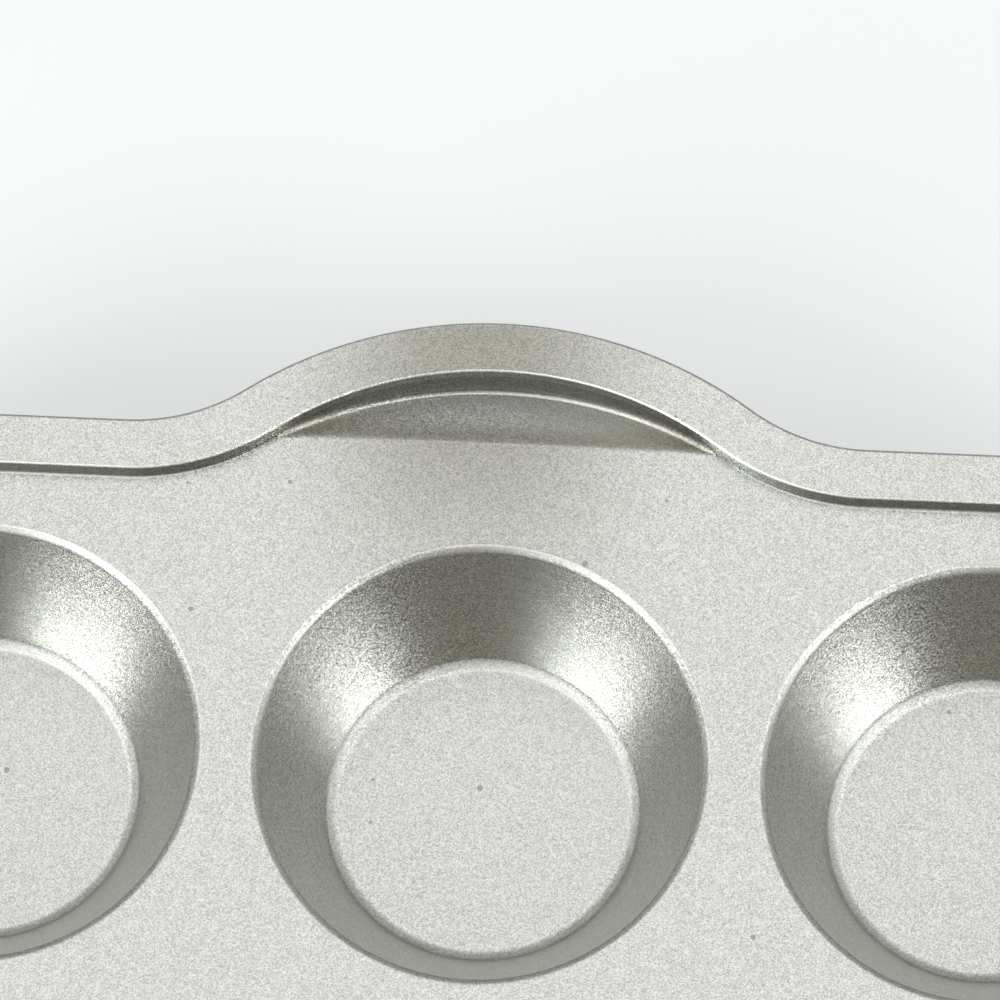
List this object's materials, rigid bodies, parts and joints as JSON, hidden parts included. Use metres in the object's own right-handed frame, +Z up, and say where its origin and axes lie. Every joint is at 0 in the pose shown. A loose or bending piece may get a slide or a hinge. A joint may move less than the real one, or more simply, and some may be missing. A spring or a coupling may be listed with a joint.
{
  "type": "mini tart pan",
  "caption": "Cast metal mini tart pan: rows of flared round cups sunk in a flat deck, with a raised rim and an arched handle with a thumb scoop at each end.",
  "frame": {"origin": "centre of the pan on the surface that it stands on, level with the undersides of the cup floors", "axes": "+Z up, +Y along the pan's length towards the back handle, +X across its width"},
  "size_m": [0.265, 0.3812, 0.0313],
  "materials": {
    "silver_coating": "satin silver nonstick coating with fine metallic sparkle over cast aluminium"
  },
  "bodies": {
    "root": {"deck": "silver_coating", "cup_r1_c1": "silver_coating", "cup_r1_c2": "silver_coating", "cup_r1_c3": "silver_coating", "cup_r2_c1": "silver_coating", "cup_r2_c2": "silver_coating", "cup_r2_c3": "silver_coating", "cup_r3_c1": "silver_coating", "cup_r3_c2": "silver_coating", "cup_r3_c3": "silver_coating", "cup_r4_c1": "silver_coating", "cup_r4_c2": "silver_coating", "cup_r4_c3": "silver_coating", "rim_left": "silver_coating", "rim_right": "silver_coating", "corner_back_left": "silver_coating", "corner_back_right": "silver_coating", "corner_front_left": "silver_coating", "corner_front_right": "silver_coating", "handle_back": "silver_coating", "handle_front": "silver_coating", "scoop_back": "silver_coating", "scoop_front": "silver_coating"}
  },
  "joints": []
}
